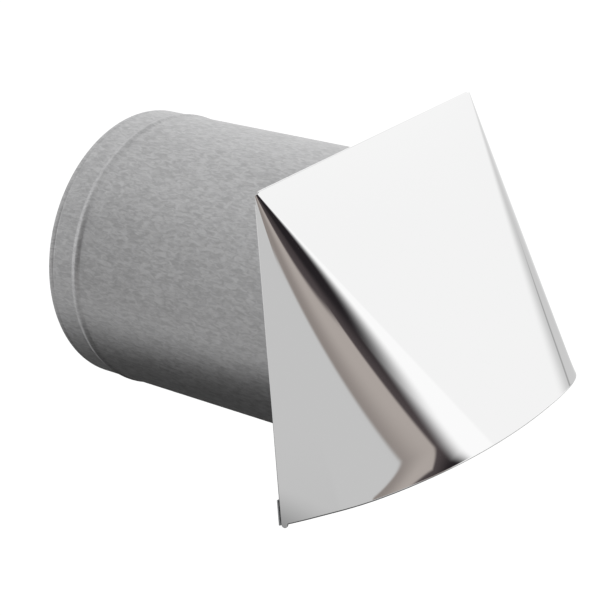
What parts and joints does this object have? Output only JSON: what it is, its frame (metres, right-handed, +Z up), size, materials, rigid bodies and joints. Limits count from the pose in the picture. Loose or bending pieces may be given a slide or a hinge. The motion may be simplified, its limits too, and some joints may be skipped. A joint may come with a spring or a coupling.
{
  "type": "hooded wall vent",
  "caption": "Wall vent cap: a polished sheet hood with conical corners on a flat back plate, with a round galvanized duct tail and a gravity damper inside.",
  "frame": {"origin": "on the duct's axis, where it crosses the wall plane at the back of the hood", "axes": "+Y runs along the duct into the wall, +Z is up, the hood faces -Y"},
  "size_m": [0.116, 0.1681, 0.119],
  "materials": {
    "hood": "polished stainless steel sheet",
    "plate": "plain stainless steel sheet",
    "duct": "galvanized steel sheet, finely streaked along the tube",
    "seal": "dark closed-cell foam",
    "flap": "plain aluminium sheet",
    "rod": "bright drawn rod",
    "nuts": "blued spring steel",
    "rivets": "plain steel"
  },
  "bodies": {
    "housing": {"hood_shell": "hood", "back_plate": "plate", "duct_tube": "duct", "seal_ring": "seal", "hinge_rod": "rod", "rod_push_nuts": "nuts", "flange_rivets": "rivets"},
    "damper": {"damper_flap": "flap"}
  },
  "joints": [
    {"name": "damper_hinge", "type": "hinge", "parent": "housing", "child": "damper", "pos_m": [0, -0.00415, 0.04912], "axis": [-1, 0, 0], "range_deg": [0, 27]}
  ]
}
